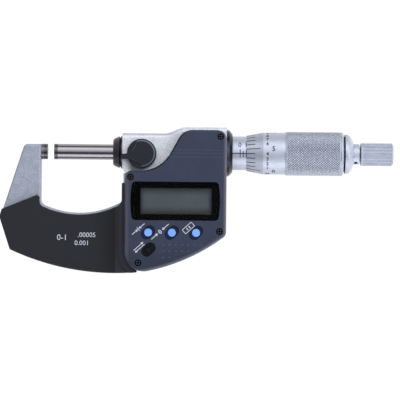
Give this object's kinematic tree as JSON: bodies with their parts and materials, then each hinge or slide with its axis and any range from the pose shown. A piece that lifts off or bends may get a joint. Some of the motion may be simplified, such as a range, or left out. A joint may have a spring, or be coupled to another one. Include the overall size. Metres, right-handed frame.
{
  "type": "digital outside micrometer",
  "caption": "Outside micrometer with C-frame, screw spindle, graduated sleeve and thimble, ratchet, spindle clamp and a digital display housing.",
  "frame": {"origin": "centre of the anvil's measuring face", "axes": "lying on its back: +X along the spindle towards the ratchet, +Y away from the bow, +Z out of the display"},
  "size_m": [0.1607, 0.0599, 0.0246],
  "materials": {
    "cast_frame": "fine hammered silver coating",
    "satin_steel": "fine turned satin",
    "ground_steel": "ground bright",
    "hard_metal": "lapped hard metal",
    "knurled_steel": "satin chrome with diamond knurl",
    "cover_plastic": "slate blue, fine texture",
    "case_plastic": "black, fine texture",
    "plate_plastic": "black, fine texture",
    "seal_rubber": "black",
    "black_metal": "black satin",
    "lever_plastic": "blue black, soft gloss",
    "brass": "turned",
    "clear_pane": "clear, glossy",
    "mask_black": "black, glossy",
    "display_grey": "grey green display",
    "white_plastic": "natural white",
    "board_green": "coated circuit board",
    "button_blue": "light blue",
    "button_black": "black",
    "screw_black": "black oxide",
    "cell_steel": "nickel plated",
    "spring_steel": "bright"
  },
  "bodies": {
    "root": {"frame": "cast_frame", "anvil": "ground_steel", "anvil_tip": "hard_metal", "front_plate": "plate_plastic", "rear_plate": "plate_plastic", "seal_cap": "black_metal", "spindle_seal": "seal_rubber", "spindle_bush": "brass", "clamp_pad": "brass", "encoder_stator": "board_green", "rotor_retainer": "brass", "inner_sleeve": "ground_steel", "adjusting_nut": "ground_steel", "scale_sleeve": "satin_steel", "sleeve_collar": "black_metal", "front_cover": "cover_plastic", "cover_gasket": "seal_rubber", "rear_gasket": "seal_rubber", "window_mask": "mask_black", "display_window": "clear_pane", "circuit_board": "board_green", "lcd_panel": "display_grey", "lcd_holder": "white_plastic", "elastomer_strips": "seal_rubber", "button_membrane": "seal_rubber", "front_cover_screws": "screw_black", "rear_case_screws": "screw_black", "rear_case": "case_plastic", "battery": "cell_steel", "battery_contact": "spring_steel", "data_port_cap": "case_plastic", "data_port_screws": "screw_black", "data_connector": "button_black"},
    "encoder_rotor": {"encoder_rotor": "brass", "rotor_key": "ground_steel"},
    "spindle_unit": {"spindle": "ground_steel", "spindle_tip": "hard_metal", "thimble": "knurled_steel", "thimble_end_cap": "satin_steel", "ratchet_click": "ground_steel", "ratchet_springs": "spring_steel", "ratchet_screw": "ground_steel"},
    "ratchet_knob": {"ratchet_knob": "satin_steel"},
    "clamp_lever": {"clamp_lever": "lever_plastic", "clamp_shaft": "ground_steel"},
    "set_button": {"set_button": "button_blue"},
    "zero_button": {"zero_button": "button_blue"},
    "hold_button": {"hold_button": "button_blue"},
    "unit_button": {"unit_button": "button_black"},
    "battery_seal": {"battery_cap_seal": "seal_rubber"},
    "battery_cap": {"battery_cap": "case_plastic"}
  },
  "joints": [
    {"name": "thimble_turn", "type": "hinge", "parent": "root", "child": "encoder_rotor", "pos_m": [0.059, 0, 0], "axis": [1, 0, 0], "range_deg": [-1496.89, 12903.51]},
    {"name": "spindle_slide", "type": "slide", "parent": "encoder_rotor", "child": "spindle_unit", "axis": [1, 0, 0], "range_m": [-0.00264, 0.02276]},
    {"name": "ratchet_turn", "type": "hinge", "parent": "spindle_unit", "child": "ratchet_knob", "pos_m": [0.135, 0, 0], "axis": [1, 0, 0], "continuous": true},
    {"name": "clamp_turn", "type": "hinge", "parent": "root", "child": "clamp_lever", "pos_m": [0.0386, -0.0006, 0.0087], "axis": [0, 0, 1], "range_deg": [-50, 0]},
    {"name": "set_button_press", "type": "slide", "parent": "root", "child": "set_button", "axis": [0, 0, -1], "range_m": [0, 0.0005], "stiffness_N_per_m": 600, "springref_m": -0.0002},
    {"name": "zero_button_press", "type": "slide", "parent": "root", "child": "zero_button", "axis": [0, 0, -1], "range_m": [0, 0.0005], "stiffness_N_per_m": 600, "springref_m": -0.0002},
    {"name": "hold_button_press", "type": "slide", "parent": "root", "child": "hold_button", "axis": [0, 0, -1], "range_m": [0, 0.0005], "stiffness_N_per_m": 600, "springref_m": -0.0002},
    {"name": "unit_button_press", "type": "slide", "parent": "root", "child": "unit_button", "axis": [0, 0, -1], "range_m": [0, 0.0005], "stiffness_N_per_m": 600, "springref_m": -0.0002},
    {"name": "battery_cap_lift", "type": "slide", "parent": "root", "child": "battery_seal", "axis": [0, 0, -1], "range_m": [0, 0.0015]},
    {"name": "battery_cap_turn", "type": "hinge", "parent": "battery_seal", "child": "battery_cap", "pos_m": [0.052, -0.021, -0.0095], "axis": [0, 0, -1], "range_deg": [0, 1080.1]}
  ],
  "couplings": [
    {"joint": "thimble_turn", "follows": "spindle_slide", "rad_per_m": 9894.8},
    {"joint": "battery_cap_turn", "follows": "battery_cap_lift", "rad_per_m": 12566}
  ]
}
